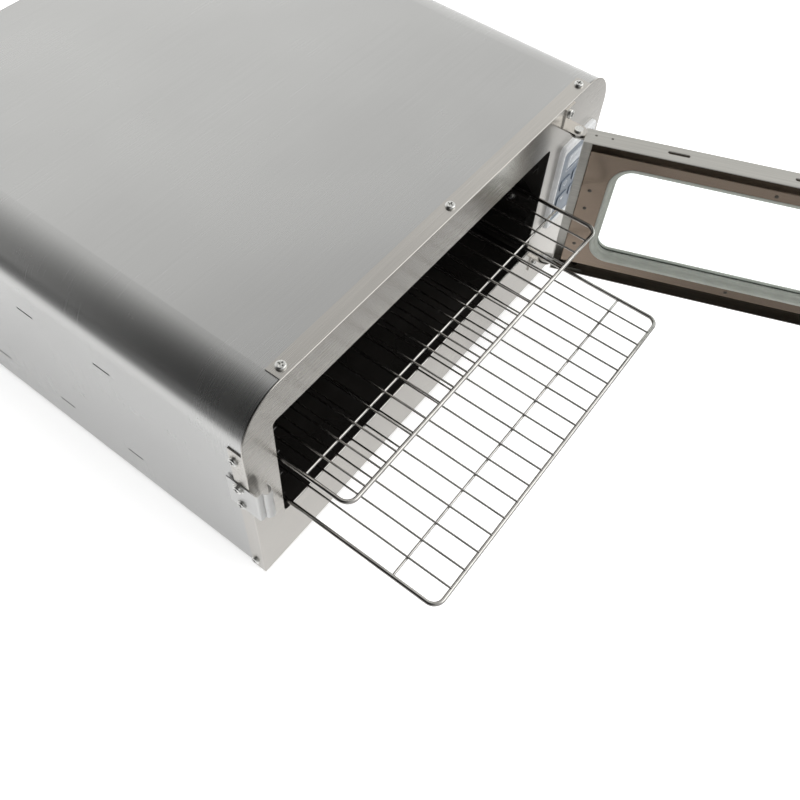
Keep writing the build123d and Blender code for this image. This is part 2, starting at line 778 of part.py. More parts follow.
def air_probe():
    """The chamber's temperature probe: a small sheath through the right wall, with a nut."""
    x, y, z = probe_place
    sheath = rod((x + 12, y, z), (x - 8, y, z), probe_r)
    return sheath + Plane((x - 2.0, y, z), z_dir=LEFT) * extrude(RegularPolygon(4.0, 6), -2.0 + fit_gap)


# ---------------------------------------------------------------- fan and heater
bridge_screws = [(fan_x + s * (bridge_half + 8), chamber_d, fan_z) for s in (-1, 1)]
bridge_y0 = chamber_d + liner_t


def motor_bridge():
    """A hat-shaped strap on the baffle that carries the motor behind the impeller."""
    z0, z1 = fan_z - bridge_w / 2, fan_z + bridge_w / 2
    top = bridge_y0 + bridge_h
    strap = box(fan_x - bridge_half, fan_x + bridge_half, top - bridge_t, top, z0, z1)
    for s in (-1, 1):
        leg = sorted((fan_x + s * bridge_half, fan_x + s * (bridge_half - bridge_t)))
        foot = sorted((fan_x + s * bridge_half, fan_x + s * (bridge_half + 16)))
        strap += box(*leg, bridge_y0 + fit_gap, top, z0, z1)
        strap += box(*foot, bridge_y0 + fit_gap, bridge_y0 + fit_gap + bridge_t, z0, z1)
    strap -= hole((fan_x, top, fan_z), BACK, shaft_r + 3)
    return strap - screw_holes(bridge_screws, FRONT)


def fan_motor():
    """The motor: a can, a boss and a through bore for the fan's shaft."""
    y0 = bridge_y0 + bridge_h + fit_gap
    can = Plane((fan_x, y0, fan_z), z_dir=BACK) * Cylinder(
        motor_r, motor_l, align=STANDING
    )
    can = fillet(can.edges().filter_by(GeomType.CIRCLE), 2.5)
    boss = rod((fan_x, y0 + 1, fan_z), (fan_x, y0 - bridge_t, fan_z), shaft_r + 2.6)
    return can + boss - hole((fan_x, y0 + 5, fan_z), BACK, shaft_r + shaft_play, 30)


def fan_impeller():
    """A radial fan: a disc, a hub and curved blades."""
    back = fan_y + fan_blade_h
    disc = rod((fan_x, back, fan_z), (fan_x, back + fan_plate_t, fan_z), fan_r)
    hub = rod((fan_x, back - 8, fan_z), (fan_x, back + fan_plate_t + 2, fan_z), fan_hub_r)
    wheel = disc + hub
    mid_r = (fan_r + fan_hub_r) / 2
    for n in range(fan_blades):
        blade = box(-fan_blade_t / 2, fan_blade_t / 2, fan_y, back + 0.2, fan_hub_r - 1, fan_r - 1)
        blade = Rot(0, 25, 0) * Pos(0, 0, -mid_r) * blade
        blade = Pos(0, 0, mid_r) * blade
        wheel += Pos(fan_x, 0, fan_z) * (Rot(0, 360 / fan_blades * n, 0) * blade)
    return wheel - hole((fan_x, back, fan_z), BACK, shaft_r, 60)


def fan_shaft():
    """The shaft, fixed in the impeller and running in the motor."""
    end = bridge_y0 + bridge_h + motor_l * 0.7
    return rod((fan_x, fan_y + fan_blade_h - 10, fan_z), (fan_x, end, fan_z), shaft_r)


def heater_element():
    """A round tubular heater with two straight ends led back past the fan."""
    y = bridge_y0 + heater_gap + heater_tube_r
    ring = Pos(fan_x, y, fan_z) * (Rot(90, 0, 0) * Torus(heater_r, heater_tube_r))
    gap = box(fan_x - 9, fan_x + 9, y - 5, y + 5, fan_z - heater_r - 9, fan_z - heater_r + 9)
    ring -= gap
    for s in (-1, 1):
        x = fan_x + s * 10.5
        z = fan_z - heater_r + 1.0
        ring += rod((x, y, z), (x, y + 36, z), heater_tube_r)
    return ring


def heater_clips():
    """Two saddle clips that hold the heater on the baffle."""
    y0 = bridge_y0 + fit_gap
    y1 = bridge_y0 + heater_gap - fit_gap
    solids = []
    for z in (fan_z + heater_r * 0.5, fan_z - heater_r * 0.5):
        for s in (-1, 1):
            x = fan_x + s * heater_r * cos(radians(30))
            solids.append(box(x - 5, x + 5, y0, y1, z - 4, z + 4))
    return group(solids)


def thermal_cutout():
    """The safety thermostat on the rear baffle."""
    x, z = fan_x + 120, fan_z
    body = rod((x, bridge_y0 + fit_gap, z), (x, bridge_y0 + 10, z), 8.0)
    return body + box(x - 12, x + 12, bridge_y0 + fit_gap, bridge_y0 + 1.2, z - 5, z + 5)


# ---------------------------------------------------------------- rear electrics and feet
inlet_cx = body_w - 62.0
inlet_cz = 58.0
inlet_box = (inlet_cx - inlet_w / 2, inlet_cx + inlet_w / 2, inlet_cz - inlet_h / 2, inlet_cz + inlet_h / 2)
inlet_screws = [(inlet_cx + s * 20.0, body_d, inlet_cz) for s in (-1, 1)]


def power_inlet():
    """A panel-mounted appliance inlet with three blades in its well."""
    x0, x1, z0, z1 = inlet_box
    flange = plate_y(x0 - 11.2, x1 + 11.2, z0 - 1.2, z1 + 1.2, body_d + fit_gap, body_d + inlet_flange_t, 3.0)
    shell = plate_y(x0 + 0.2, x1 - 0.2, z0 + 0.2, z1 - 0.2, body_d - 24, body_d + 1, 2.0)
    well = plate_y(x0 + 2, x1 - 2, z0 + 2, z1 - 2, body_d - 16, body_d + 5, 3.0)
    inlet = flange + shell - well
    for dx, dz in ((-7, -2), (0, 2.5), (7, -2)):
        inlet += box(inlet_cx + dx - 1, inlet_cx + dx + 1, body_d - 18, body_d - 2,
                     inlet_cz + dz - 2, inlet_cz + dz + 2)
    return inlet - screw_holes(inlet_screws, BACK)


def power_board():
    """The supply and relay board on the base, right of the chamber."""
    z0 = fascia_t + fit_gap + casing_t + 8
    x0, x1 = chamber_x1 + 22, body_w - 16
    board = box(x0, x1, 150, 290, z0, z0 + 1.6)
    board += box(x0 + 6, x0 + 34, 165, 200, z0 + 1.6, z0 + 30)
    board += box(x0 + 44, x0 + 60, 165, 185, z0 + 1.6, z0 + 17)
    board += Pos(x0 + 50, 230, z0 + 1.6) * Cylinder(9, 24, align=STANDING)
    for x in (x0 + 5, x1 - 5):
        for y in (155, 285):
            board += rod((x, y, z0 - 8 + fit_gap), (x, y, z0), 3.0)
    return board


def feet():
    """Four tapered rubber feet."""
    solids = []
    for x, y in foot_places:
        cone = Cone(foot_r - foot_taper, foot_r, foot_h - fit_gap, align=STANDING)
        cone = Pos(x, y, -foot_h) * cone
        cone -= Pos(x, y, -foot_h) * Cylinder(foot_bore_r, 2 * foot_bore_h)
        solids.append(cone - hole((x, y, 0), UP, screw_r, 2 * foot_h + 1))
    return group(solids)


def feet_screws():
    """Screws up through the feet into the base pan."""
    return group(pan_screw((x, y, foot_bore_h - foot_h), DOWN, foot_screw_l) for x, y in foot_places)


# ---------------------------------------------------------------- write the nodes
def cabinet_nodes():
    """Every node that is fixed to the cabinet."""
    floor, roof, left, right = chamber_plates()
    nodes = {
        "outer_casing": outer_casing(),
        "base_pan": base_pan(),
        "front_fascia": front_fascia(),
        "rear_cover": rear_cover(),
        "chamber_floor": floor,
        "chamber_roof": roof,
        "chamber_left_wall": left,
        "chamber_right_wall": right,
        "rear_baffle": rear_baffle(),
        "left_rack_rails": rack_rails(chamber_x0 + fit_gap, 1),
        "right_rack_rails": rack_rails(chamber_x1 - fit_gap, -1),
        "fascia_top_screws": group(pan_screw(p, UP) for p in top_screws),
        "fascia_side_screws": group(
            [pan_screw(p, LEFT) for p in side_screws] + [pan_screw(p, RIGHT) for p in side_screws_right]
        ),
        "rear_cover_screws": group(
            [pan_screw(p, UP) for p in rear_top]
            + [pan_screw(p, LEFT) for p in rear_left]
            + [pan_screw(p, RIGHT) for p in rear_right]
        ),
        "latch_strap": latch_strap(),
        "latch_screws": group(
            [pan_screw((latch_face_x, side_screw_y, latch_screws_z[0]), LEFT),
             pan_screw((latch_face_x - washer_t, side_screw_y, latch_screws_z[1]), LEFT)]
        ),
        "latch_washer": latch_washer(),
        "upper_hinge_bracket": hinge_bracket(1, hinge_z1),
        "lower_hinge_bracket": hinge_bracket(-1, hinge_z0),
        "hinge_pins": group([hinge_pin(1, hinge_z1), hinge_pin(-1, hinge_z0)]),
        "hinge_screws": group(pan_screw((x, -hinge_leaf_t - fit_gap, z), FRONT) for x, _, z in hinge_screws),
        "control_bezel": control_bezel(),
        "control_overlay": control_overlay(),
        "display_window": display_window(),
        "display_module": display_module(),
        "control_board": control_board(),
        "board_standoffs": board_standoffs(),
        "air_probe": air_probe(),
        "motor_bridge": motor_bridge(),
        "fan_motor": fan_motor(),
        "heater_element": heater_element(),
        "heater_clips": heater_clips(),
        "thermal_cutout": thermal_cutout(),
        "power_inlet": power_inlet(),
        "inlet_screws": group(pan_screw((x, y + inlet_flange_t, z), BACK) for x, y, z in inlet_screws),
        "power_board": power_board(),
        "rubber_feet": feet(),
        "feet_screws": feet_screws(),
    }
    return nodes


def door_nodes():
    """Every node that swings with the door, opened to its rest angle."""
    nodes = {
        "door_skin": door_skin(),
        "door_inner_pan": door_inner_pan(),
        "door_gasket": door_gasket(),
        "door_glass": door_glass(),
        "glass_tape": glass_tape(),
        "door_rivets": group([door_rivets(), tab_rivets()]),
        "door_handle": door_handle(),
        "handle_screws": handle_screws(),
        "upper_hinge_tab": hinge_tab(1, hinge_z1),
        "lower_hinge_tab": hinge_tab(-1, hinge_z0),
    }
    swing = Pos(hinge_x, hinge_y, 0) * Rot(0, 0, door_open_deg) * Pos(-hinge_x, -hinge_y, 0)
    return {name: swing * shape for name, shape in nodes.items()}


def moving_nodes():
    """The racks, the fan's rotor and the keys."""
    nodes = {"fan_impeller": fan_impeller(), "fan_shaft": fan_shaft()}
    for rack, level, out in (
        ("upper_rack", upper_rack_level, upper_rack_out),
        ("lower_rack", lower_rack_level, lower_rack_out),
    ):
        frame, wires, bars = rack_parts(level, out)
        nodes[f"{rack}_frame"] = frame
        nodes[f"{rack}_wires"] = wires
        nodes[f"{rack}_crossbars"] = bars
    for name, (x, z) in key_places.items():
        nodes[name] = key(x, z)
    return nodes


for nodes in (cabinet_nodes(), door_nodes(), moving_nodes()):
    for name, shape in nodes.items():
        save(name, shape)
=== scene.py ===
import json
import math
import random

import bmesh
import bpy
from mathutils import Euler, Matrix, Vector


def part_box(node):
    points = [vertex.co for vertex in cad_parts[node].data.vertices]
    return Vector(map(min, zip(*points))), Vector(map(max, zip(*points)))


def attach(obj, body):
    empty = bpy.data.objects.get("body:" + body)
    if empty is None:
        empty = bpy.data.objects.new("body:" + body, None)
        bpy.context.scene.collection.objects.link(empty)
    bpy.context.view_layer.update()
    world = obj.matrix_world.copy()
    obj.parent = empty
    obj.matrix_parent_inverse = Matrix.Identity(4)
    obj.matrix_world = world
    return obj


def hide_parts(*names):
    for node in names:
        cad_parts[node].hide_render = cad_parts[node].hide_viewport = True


bl_info = {
    "name": "Food dehydrator",
    "version": (1, 0, 0),
    "blender": (4, 5, 0),
    "location": "3D View > Sidebar > Dehydrator",
    "description": "Finishes, racks, gasket, panel print and studio for the food dehydrator",
    "category": "Object",
}

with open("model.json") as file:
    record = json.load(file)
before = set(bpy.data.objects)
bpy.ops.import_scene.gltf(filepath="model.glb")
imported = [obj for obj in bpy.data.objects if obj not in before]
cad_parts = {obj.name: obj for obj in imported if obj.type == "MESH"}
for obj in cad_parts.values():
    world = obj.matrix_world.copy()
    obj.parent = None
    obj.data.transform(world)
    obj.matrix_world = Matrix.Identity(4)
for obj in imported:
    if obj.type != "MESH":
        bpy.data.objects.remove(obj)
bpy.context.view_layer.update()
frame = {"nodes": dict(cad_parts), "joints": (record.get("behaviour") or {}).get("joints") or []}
MM = 0.001
joints = {joint["name"]: joint for joint in frame["joints"]}
hinge = Vector(joints["door_hinge"]["pos_m"])
door_angle = -math.radians(joints["door_hinge"]["range_deg"][0])
# The door is modelled shut; this turns it to where it rests, open.
door_turn = Matrix.Translation(hinge) @ Matrix.Rotation(door_angle, 4, "Z") @ Matrix.Translation(-hinge)


# ------------------------------------------------------------------ shader arithmetic
class Signal:
    """One output of a node. Arithmetic on it adds Math nodes, or Vector Math nodes for a vector."""

    def __init__(self, nodes, socket):
        self.nodes = nodes
        self.socket = socket

    def _join(self, operation, *values):
        wide = any(isinstance(v, tuple) or getattr(v, "is_vector", False) for v in values)
        kind = "ShaderNodeVectorMath" if wide else "ShaderNodeMath"
        if wide:
            values = [(v, v, v) if isinstance(v, (int, float)) else v for v in values]
        return self.nodes.add(kind, {"operation": operation}, dict(enumerate(values)))

    @property
    def is_vector(self):
        return self.socket.type in ("VECTOR", "RGBA")

    def __add__(self, other):
        return self._join("ADD", self, other)

    def __sub__(self, other):
        return self._join("SUBTRACT", self, other)

    def __mul__(self, other):
        return self._join("MULTIPLY", self, other)

    def __rsub__(self, other):
        return self._join("SUBTRACT", other, self)

    __radd__ = __add__
    __rmul__ = __mul__

    def most(self, other):
        """The larger of the two."""
        return self._join("MAXIMUM", self, other)

    def dot(self, other):
        settings = {"operation": "DOT_PRODUCT"}
        return self.nodes.add("ShaderNodeVectorMath", settings, {0: self, 1: other}, "Value")

    def ramp(self, low, high, start=0.0, end=1.0):
        """Smoothly from start to end as the number goes from low to high."""
        settings = {"interpolation_type": "SMOOTHSTEP"}
        inputs = {"Value": self, "From Min": low, "From Max": high, "To Min": start, "To Max": end}
        return self.nodes.add("ShaderNodeMapRange", settings, inputs)

    def between(self, first, second):
        """The first colour at 0, the second at 1."""
        # A Mix node's colour sockets share their names with others: inputs 6 and 7, and output 2.
        return self.nodes.add("ShaderNodeMix", {"data_type": "RGBA"}, {0: self, 6: first, 7: second}, 2)


class Nodes:
    """A node tree under construction."""

    def __init__(self, tree):
        self.tree = tree

    def add(self, kind, settings=None, inputs=None, output=0):
        """A new node of that type: its settings first, then its inputs; returns one of its outputs."""
        node = self.tree.nodes.new(kind)
        for name, value in (settings or {}).items():
            setattr(node, name, value)
        for name, value in (inputs or {}).items():
            self.feed(node.inputs[name], value)
        return Signal(self, node.outputs[output])

    def feed(self, socket, value):
        """Links a signal to a socket, or sets a plain value on it."""
        if isinstance(value, Signal):
            self.tree.links.new(value.socket, socket)
        elif socket.type == "RGBA" and len(value) == 3:
            socket.default_value = (*value, 1.0)
        else:
            socket.default_value = value

    def place(self):
        """The point on the piece, in metres, in the frame that the model is built in."""
        return self.add("ShaderNodeTexCoord", None, None, "Object")

    def noise(self, point, detail=2.0, rough=0.5):
        inputs = {"Vector": point, "Scale": 1.0, "Detail": detail, "Roughness": rough}
        return self.add("ShaderNodeTexNoise", None, inputs)

    def speckle(self, point):
        return self.add("ShaderNodeTexVoronoi", None, {"Vector": point, "Scale": 1.0})

    def bump(self, height, strength, depth):
        """A normal that follows height, over that depth in metres."""
        inputs = {"Strength": strength, "Distance": depth, "Height": height}
        return self.add("ShaderNodeBump", None, inputs)

    def scaled(self, colour, factor):
        """A plain colour times a signal, which may pass 1."""
        settings = {"operation": "SCALE"}
        return self.add("ShaderNodeVectorMath", settings, {"Vector": tuple(colour), "Scale": factor})


class Finish(Nodes):
    """A material with one Principled shader."""

    def __init__(self, name, **constants):
        self.material = bpy.data.materials.new(name)
        self.material.use_nodes = True
        super().__init__(self.material.node_tree)
        self.shader = self.tree.nodes["Principled BSDF"]
        self.set(**constants)

    def set(self, **values):
        """Feeds the shader's sockets: Base_Color=..., Roughness=... and so on."""
        for name, value in values.items():
            self.feed(self.shader.inputs[name.replace("_", " ")], value)
        return self.material


def tint(colour, factor):
    """A colour made lighter or darker."""
    return tuple(min(1.0, channel * factor) for channel in colour)


def grained_steel(
    name, colour, roughness, stretch, turn=None, depth=0.000008, contrast=0.05, cloud=0.06, smudges=0.0
):
    """Brushed sheet: fine and coarse grain lines, cloudy patches and faint wiping marks.

    stretch is how often the grain changes each metre along X, Y and Z.
    """
    finish = Finish(name, Metallic=1.0)
    point = finish.place()
    if turn is not None:
        centre, angle = turn
        inputs = {"Vector": point, "Center": centre, "Angle": angle}
        point = finish.add("ShaderNodeVectorRotate", {"rotation_type": "Z_AXIS"}, inputs)
    fine = finish.noise(point * tuple(stretch), 3.0, 0.6)
    coarse = finish.noise(point * tuple(f * 0.3 for f in stretch), 3.0, 0.55)
    patches = finish.noise(point * 7.0, 2.0, 0.5)
    grain = fine * 0.65 + coarse * 0.35
    level = 1.0 - contrast * 0.5 - cloud * 0.5
    shade = grain.ramp(0.3, 0.7) * contrast + patches.ramp(0.3, 0.7) * cloud + level
    colour_out = finish.scaled(colour, shade)
    rough = roughness + (grain - 0.5) * 0.07 + (patches - 0.5) * 0.08
    if smudges:
        marks = finish.noise(point * (34.0, 21.0, 34.0), 4.0, 0.65).ramp(0.56, 0.72)
        rough = rough + marks * smudges
    normal = finish.bump(grain, 0.35, depth)
    return finish.set(Base_Color=colour_out, Roughness=rough, Normal=normal)


def bright_steel(name, colour, roughness, scale=900.0):
    """Turned or plated steel with fine tool marks and a few small pits."""
    finish = Finish(name, Metallic=1.0)
    point = finish.place()
    marks = finish.noise(point * scale, 3.0, 0.6)
    dull = finish.noise(point * 90.0, 2.0, 0.5)
    pits = finish.speckle(point * (scale * 1.4)).ramp(0.0, 0.16, 0.72, 1.0)
    shade = (marks.ramp(0.3, 0.7) * 0.14 + 0.86) * pits
    colour_out = finish.scaled(colour, shade)
    rough = roughness + (dull - 0.5) * 0.2 + (marks - 0.5) * 0.08
    return finish.set(Base_Color=colour_out, Roughness=rough, Normal=finish.bump(marks, 0.2, 0.00001))


def moulding(name, colour, roughness, texture=1500.0, depth=0.00002, mottle=0.08, **constants):
    """Moulded plastic or rubber: an even colour with a fine grained skin and slight mottling."""
    finish = Finish(name, **constants)
    point = finish.place()
    skin = finish.noise(point * texture, 2.0, 0.5)
    patches = finish.noise(point * 60.0, 3.0, 0.5)
    colour_out = patches.ramp(0.3, 0.7).between(tint(colour, 1.0 - mottle), tint(colour, 1.0 + mottle))
    rough = roughness + (skin - 0.5) * 0.14 + (patches - 0.5) * 0.10
    return finish.set(Base_Color=colour_out, Roughness=rough, Normal=finish.bump(skin, 0.3, depth))


# ------------------------------------------------------------------ pieces
def dress(material, *names):
    """Gives CAD nodes their material, in place of the plain one that they are packed with."""
    for name in names:
        mesh = frame["nodes"][name].data
        mesh.materials.clear()
        mesh.materials.append(material)


def loose_boxes(name):
    """The lowest and highest corner of each separate solid of a CAD node."""
    mesh = frame["nodes"][name].data
    keys = [tuple(round(c * 1e6) for c in v.co) for v in mesh.vertices]
    root = {key: key for key in keys}

    def find(key):
        while root[key] != key:
            root[key] = root[root[key]]
            key = root[key]
        return key

    for edge in mesh.edges:
        a, b = (find(keys[i]) for i in edge.vertices)
        root[a] = b
    groups = {}
    for key in root:
        groups.setdefault(find(key), []).append(key)
    boxes = []
    for points in groups.values():
        low = Vector([min(p[i] for p in points) * 1e-6 for i in range(3)])
        high = Vector([max(p[i] for p in points) * 1e-6 for i in range(3)])
        boxes.append((low, high))
    return sorted(boxes, key=lambda box: (round(box[0].x, 5), round(box[0].y, 5), box[0].z))


def shut_box(name):
    """A door node's lowest and highest corner with the door shut."""
    back = door_turn.inverted()
    points = [back @ v.co for v in frame["nodes"][name].data.vertices]
    return tuple(Vector([pick(p[i] for p in points) for i in range(3)]) for pick in (min, max))


def put(name, data, material, body):
    """Puts a new mesh or curve in the scene, riding on a CAD body."""
    piece = bpy.data.objects.new(name, data)
    bpy.context.scene.collection.objects.link(piece)
    data.materials.append(material)
    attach(piece, body)
    return piece


def mesh_from(name, bm, smooth=True):
    """Turns a bmesh into mesh data, its normals outward."""
    bmesh.ops.recalc_face_normals(bm, faces=bm.faces)
    mesh = bpy.data.meshes.new(name)
    bm.to_mesh(mesh)
    bm.free()
    for polygon in mesh.polygons:
        polygon.use_smooth = smooth
    return mesh


def tube_curve(name, runs, radius, closed=False):
    """Round wire along each run of points."""
    data = bpy.data.curves.new(name, "CURVE")
    data.dimensions = "3D"
    data.bevel_depth = radius
    data.bevel_resolution = 5
    data.use_fill_caps = True
    for run in runs:
        spline = data.splines.new("POLY")
        spline.points.add(len(run) - 1)
        for target, point in zip(spline.points, run):
            target.co = (*point, 1.0)
        spline.use_cyclic_u = closed
    return data


def rounded_loop(low, high, radius, steps=10):
    """Points round a rectangle in a level plane, its corners rounded."""
    corners = [(high.x, high.y, 0), (low.x, high.y, 90), (low.x, low.y, 180), (high.x, low.y, 270)]
    points = []
    for x, y, start in corners:
        centre_x = x - radius if x == high.x else x + radius
        centre_y = y - radius if y == high.y else y + radius
        for step in range(steps + 1):
            angle = math.radians(start + 90 * step / steps)
            points.append((centre_x + radius * math.cos(angle), centre_y + radius * math.sin(angle)))
    return points


def flat_shape(bm, outline, level, thickness, hole=None):
    """A thin upright plate facing the front: outline and hole are (x, z) points, level its front."""
    if hole:
        count = len(outline)
        sides = {}
        for key, y in (("front", level), ("back", level + thickness)):
            sides[key] = [[bm.verts.new((x, y, z)) for x, z in ring] for ring in (outline, hole)]
        for i in range(count):
            j = (i + 1) % count
            for key in sides:
                outer, inner = sides[key]
                bm.faces.new((outer[i], outer[j], inner[j], inner[i]))
            for ring in range(2):
                front, back = sides["front"][ring], sides["back"][ring]
                bm.faces.new((front[i], back[i], back[j], front[j]))
        return
    front = [bm.verts.new((x, level, z)) for x, z in outline]
    back = [bm.verts.new((x, level + thickness, z)) for x, z in outline]
    bm.faces.new(front)
    bm.faces.new(back)
    for i in range(len(outline)):
        j = (i + 1) % len(outline)
        bm.faces.new((front[i], back[i], back[j], front[j]))


def arc(x, z, radius, start=0.0, end=360.0, steps=24):
    """(x, z) points round a circle or part of one."""
    whole = abs(end - start) >= 360
    count = steps if whole else steps + 1
    turns = [math.radians(start + (end - start) * i / steps) for i in range(count)]
    return [(x + radius * math.cos(t), z + radius * math.sin(t)) for t in turns]


def band(x, z, radius, width, start, end, steps=20):
    """The outline of part of a ring."""
    outer = arc(x, z, radius + width / 2, start, end, steps)
    inner = arc(x, z, radius - width / 2, start, end, steps)
    return outer + inner[::-1]


def bar(x0, x1, z0, z1):
    return [(x0, z0), (x1, z0), (x1, z1), (x0, z1)]


def rounded_bar(x0, x1, z0, z1, radius):
    """The outline of an upright rectangle with rounded corners."""
    return rounded_loop(Vector((x0, z0, 0)), Vector((x1, z1, 0)), radius, 6)


# ------------------------------------------------------------------ settings
def colour_setting(name, description, default):
    return bpy.props.FloatVectorProperty(
        name=name, description=description, subtype="COLOR", size=3, min=0.0, max=1.0, default=default
    )


def size_setting(name, description, default):
    return bpy.props.FloatProperty(
        name=name, description=description, unit="LENGTH", min=0.0, default=default
    )


def share_setting(name, description, default):
    return bpy.props.FloatProperty(
        name=name, description=description, subtype="FACTOR", min=0.0, max=1.0, default=default
    )


class CabinetLooks(bpy.types.PropertyGroup):
    """Colours of the sheet metal, the chamber and the fasteners."""

    casing: colour_setting("Casing", "Brushed steel of the wrapped casing", (0.53, 0.53, 0.525))
    fascia: colour_setting("Fascia", "Brushed steel round the opening", (0.57, 0.55, 0.52))
    casing_roughness: share_setting("Casing roughness", "How soft the casing's reflections are", 0.26)
    enamel: colour_setting("Enamel", "Chamber lining", (0.012, 0.011, 0.010))
    fasteners: colour_setting("Fasteners", "Screws, pins and rivets", (0.80, 0.80, 0.78))
    rubber: colour_setting("Feet", "Rubber of the feet", (0.018, 0.018, 0.018))


class DoorLooks(bpy.types.PropertyGroup):
    """Colours and gasket section of the door."""

    skin: colour_setting("Door skin", "Brushed steel of the outer tray", (0.50, 0.49, 0.46))
    # The inner pan's brown tint is a painted reflection of warm colours, laid on grey brushed steel.
    pan: colour_setting("Inner pan", "Brushed steel of the inner tray", (0.34, 0.27, 0.215))
    gasket: colour_setting("Gasket", "Moulded silicone round the window", (0.34, 0.355, 0.32))
    lip_height: size_setting("Lip height", "How far the gasket's lip stands on the pan", 0.0007)
    corner: size_setting("Window corner", "Corner radius of the window in the pan", 0.022)
    glass: colour_setting("Glass", "Tint of the window pane", (0.93, 0.97, 0.96))


class RackLooks(bpy.types.PropertyGroup):
    """Sizes and colour of the wire racks."""

    chrome: colour_setting("Chrome", "Plating on the wires", (0.66, 0.645, 0.62))
    corner: size_setting("Frame corner", "Bend radius of the frame wire at its middle", 0.010)
    bead: size_setting("Weld bead", "Radius of the weld where two wires meet", 0.0013)
    drift: size_setting("Wire drift", "How far a thin wire strays from straight", 0.00012)


class PanelLooks(bpy.types.PropertyGroup):
    """Colours and print of the control panel."""

    bezel: colour_setting("Bezel", "Silver moulding round the panel", (0.80, 0.81, 0.82))
    overlay: colour_setting("Overlay", "Printed film", (0.185, 0.225, 0.285))
    keys: colour_setting("Keys", "Key caps", (0.20, 0.24, 0.30))
    display: colour_setting("Display", "Window of the unlit display", (0.60, 0.64, 0.69))
    marks: colour_setting("Marks", "Printed symbols", (0.80, 0.82, 0.84))
    print_height: size_setting("Print height", "How far the print stands on the film", 0.00006)


class StudioLooks(bpy.types.PropertyGroup):
    """Floor, surroundings and camera."""

    floor: colour_setting("Floor", "Plain floor", (0.86, 0.86, 0.86))
    focal: bpy.props.FloatProperty(
        name="Focal length", description="Camera lens", unit="CAMERA", min=1.0, default=39.04
    )
    overhead: bpy.props.FloatProperty(
        name="Overhead light", description="Power of the large light above", unit="POWER", default=75.0
    )


# ------------------------------------------------------------------ operators
class DEHYDRATOR_OT_cabinet(bpy.types.Operator):
    """Finish the casing, the fascia, the back and the base"""

    bl_idname = "dehydrator.cabinet"
    bl_label = "Cabinet sheet metal"

    def execute(self, context):
        looks = context.scene.dehydrator_cabinet
        rough = looks.casing_roughness
        casing = grained_steel(
            "casing_steel", looks.casing, rough, (16, 1800, 16), contrast=0.04, smudges=0.012
        )
        dress(casing, "outer_casing", "rear_cover")
        fascia = grained_steel(
            "fascia_steel", looks.fascia, rough, (20, 1500, 1500), contrast=0.09, cloud=0.05
        )
        dress(fascia, "front_fascia", "upper_hinge_bracket", "lower_hinge_bracket")
        strap = grained_steel("strap_steel", tint(looks.casing, 1.15), rough + 0.1, (60, 60, 1400))
        dress(strap, "latch_strap")
        shaded = tint(looks.casing, 0.85)
        base = grained_steel("base_steel", shaded, rough + 0.1, (1300, 18, 18), contrast=0.16)
        dress(base, "base_pan", "motor_bridge")
        return {"FINISHED"}


class DEHYDRATOR_OT_chamber(bpy.types.Operator):
    """Finish the enamelled drying chamber and its rails"""

    bl_idname = "dehydrator.chamber"
    bl_label = "Drying chamber"

    def execute(self, context):
        looks = context.scene.dehydrator_cabinet
        enamel = Finish("black_enamel_coat", Coat_Weight=0.35, Coat_Roughness=0.12)
        point = enamel.place()
        peel = enamel.noise(point * 420.0, 3.0, 0.5)
        dust = enamel.noise(point * 3200.0, 1.0, 0.5).ramp(0.72, 0.82)
        film = enamel.noise(point * 12.0, 2.0, 0.5).ramp(0.35, 0.8)
        base = film.between(tint(looks.enamel, 0.8), tint(looks.enamel, 1.5))
        colour = (dust * 0.15).between(base, (0.10, 0.10, 0.09))
        rough = film * 0.12 + dust * 0.2 + 0.26
        material = enamel.set(Base_Color=colour, Roughness=rough, Normal=enamel.bump(peel, 0.15, 0.00002))
        walls = ("chamber_floor", "chamber_roof", "chamber_left_wall", "chamber_right_wall")
        dress(material, *walls, "rear_baffle", "left_rack_rails", "right_rack_rails")
        return {"FINISHED"}


class DEHYDRATOR_OT_fasteners(bpy.types.Operator):
    """Finish the screws, pins, rivets and small metal fittings"""

    bl_idname = "dehydrator.fasteners"
    bl_label = "Fasteners"

    def execute(self, context):
        looks = context.scene.dehydrator_cabinet
        screws = bright_steel("screw_plating", looks.fasteners, 0.28)
        dress(screws, "fascia_top_screws", "fascia_side_screws", "rear_cover_screws", "latch_screws")
        dress(screws, "hinge_pins", "hinge_screws", "feet_screws", "handle_screws", "latch_washer")
        fittings = bright_steel("fitting_steel", tint(looks.fasteners, 0.85), 0.32, 700.0)
        dress(fittings, "air_probe", "board_standoffs", "heater_clips", "fan_shaft")
        dress(fittings, "inlet_screws")
        dress(bright_steel("rivet_steel", (0.16, 0.15, 0.135), 0.42, 700.0), "door_rivets")
        return {"FINISHED"}


